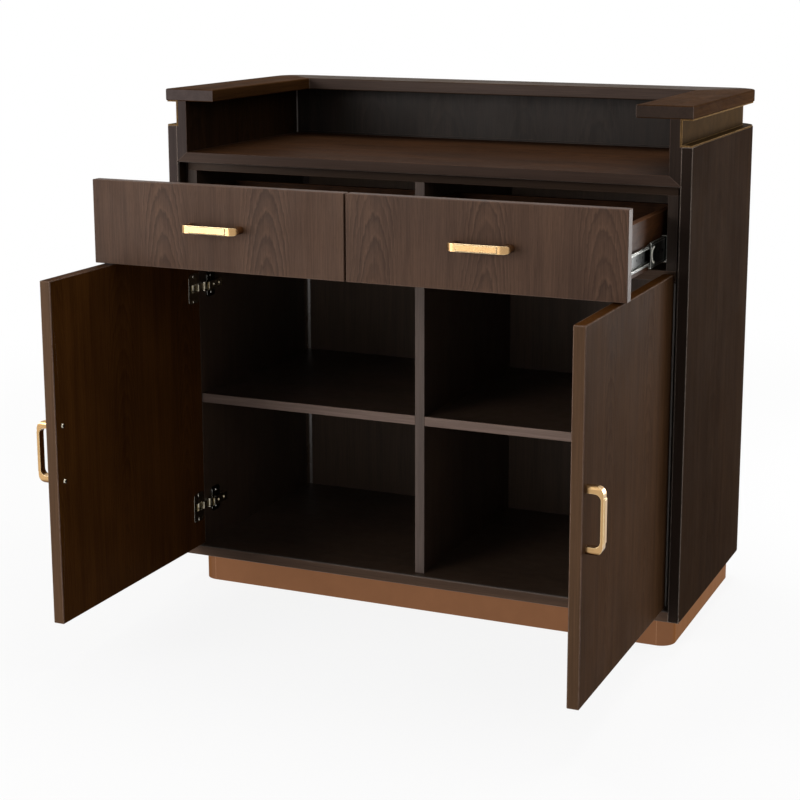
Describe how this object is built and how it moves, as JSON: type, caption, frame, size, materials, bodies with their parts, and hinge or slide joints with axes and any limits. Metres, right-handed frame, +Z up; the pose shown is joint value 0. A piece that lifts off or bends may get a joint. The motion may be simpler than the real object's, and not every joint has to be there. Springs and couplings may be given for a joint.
{
  "type": "waiter service station",
  "caption": "Walnut service cabinet with a raised U-shaped gallery, drawers on slides, hinged doors, shelves and a recessed plinth.",
  "frame": {"origin": "on the floor under the middle of the cabinet body", "axes": "+X across to the right as seen from the front, -Y out of the front, +Z up"},
  "size_m": [1.001, 0.9457, 0.962],
  "materials": {
    "veneer_cap": "satin walnut veneer",
    "veneer_leaf": "satin walnut veneer",
    "veneer_gallery": "satin walnut veneer",
    "veneer_worktop": "satin walnut veneer",
    "veneer_side": "satin walnut veneer",
    "veneer_carcass": "satin dark walnut veneer",
    "veneer_level": "satin dark walnut veneer",
    "bronze_sheet": "satin bronze",
    "plinth_laminate": "satin copper brown",
    "slide_steel": "zinc-plated",
    "hinge_nickel": "nickel-plated",
    "screw_steel": "nickel-plated",
    "handle_gold": "satin champagne gold",
    "veneer_door": "satin walnut veneer",
    "veneer_drawer": "satin walnut veneer",
    "drawer_box": "satin stained wood",
    "drawer_base": "satin stained wood"
  },
  "bodies": {
    "cabinet": {"cap_left": "veneer_cap", "cap_right": "veneer_cap", "cap_back": "veneer_cap", "inner_leaf_left": "veneer_leaf", "inner_leaf_right": "veneer_leaf", "gallery_back": "veneer_gallery", "worktop": "veneer_worktop", "outer_leaf_left": "veneer_side", "outer_leaf_right": "veneer_side", "outer_leaf_back": "veneer_side", "corner_posts": "veneer_side", "carcass_top": "veneer_carcass", "carcass_side_left": "veneer_carcass", "carcass_side_right": "veneer_carcass", "divider": "veneer_carcass", "side_spacers": "veneer_carcass", "plinth_brace": "veneer_carcass", "rail": "veneer_level", "shelves": "veneer_level", "bottom_board": "veneer_level", "recess_left": "bronze_sheet", "recess_right": "bronze_sheet", "recess_back": "bronze_sheet", "recess_corners": "bronze_sheet", "plinth_front": "plinth_laminate", "plinth_back": "plinth_laminate", "plinth_sides": "plinth_laminate", "plinth_corners": "plinth_laminate", "slide_cabinet_members": "slide_steel", "hinge_arms": "hinge_nickel", "hinge_plates": "hinge_nickel", "plate_screws": "screw_steel"},
    "drawer_left": {"drawer_front_left": "veneer_drawer", "drawer_sides_left": "drawer_box", "drawer_back_left": "drawer_box", "drawer_base_left": "drawer_base", "drawer_handle_left": "handle_gold", "drawer_screws_left": "screw_steel", "slide_drawer_left": "slide_steel"},
    "slide_left": {"slide_middle_left": "slide_steel"},
    "links_left": {"hinge_links_left": "hinge_nickel"},
    "door_left": {"door_panel_left": "veneer_door", "door_handle_left": "handle_gold", "door_screws_left": "screw_steel", "hinge_cups_left": "hinge_nickel", "cup_screws_left": "screw_steel"},
    "drawer_right": {"drawer_front_right": "veneer_drawer", "drawer_sides_right": "drawer_box", "drawer_back_right": "drawer_box", "drawer_base_right": "drawer_base", "drawer_handle_right": "handle_gold", "drawer_screws_right": "screw_steel", "slide_drawer_right": "slide_steel"},
    "slide_right": {"slide_middle_right": "slide_steel"},
    "links_right": {"hinge_links_right": "hinge_nickel"},
    "door_right": {"door_panel_right": "veneer_door", "door_handle_right": "handle_gold", "door_screws_right": "screw_steel", "hinge_cups_right": "hinge_nickel", "cup_screws_right": "screw_steel"}
  },
  "joints": [
    {"name": "drawer_left_pull", "type": "slide", "parent": "cabinet", "child": "drawer_left", "axis": [0, -1, 0], "range_m": [-0.285, 0.1]},
    {"name": "slide_left_run", "type": "slide", "parent": "cabinet", "child": "slide_left", "axis": [0, -1, 0], "range_m": [-0.0855, 0.03]},
    {"name": "hinge_left_link", "type": "hinge", "parent": "cabinet", "child": "links_left", "pos_m": [-0.4475, -0.214, 0.377], "axis": [0, 0, -1], "range_deg": [-1, 27]},
    {"name": "door_left_swing", "type": "hinge", "parent": "links_left", "child": "door_left", "pos_m": [-0.45856, -0.23749, 0.377], "axis": [0, 0, -1], "range_deg": [-115.16, 0]},
    {"name": "drawer_right_pull", "type": "slide", "parent": "cabinet", "child": "drawer_right", "axis": [0, -1, 0], "range_m": [-0.285, 0.1]},
    {"name": "slide_right_run", "type": "slide", "parent": "cabinet", "child": "slide_right", "axis": [0, -1, 0], "range_m": [-0.0855, 0.03]},
    {"name": "hinge_right_link", "type": "hinge", "parent": "cabinet", "child": "links_right", "pos_m": [0.4475, -0.214, 0.377], "axis": [0, 0, 1], "range_deg": [-1, 27]},
    {"name": "door_right_swing", "type": "hinge", "parent": "links_right", "child": "door_right", "pos_m": [0.45856, -0.23749, 0.377], "axis": [0, 0, 1], "range_deg": [-115.16, 0]}
  ],
  "couplings": [
    {"joint": "slide_left_run", "follows": "drawer_left_pull", "ratio": 0.3},
    {"joint": "hinge_left_link", "follows": "door_left_swing", "ratio": -0.21848},
    {"joint": "slide_right_run", "follows": "drawer_right_pull", "ratio": 0.3},
    {"joint": "hinge_right_link", "follows": "door_right_swing", "ratio": -0.21848}
  ]
}
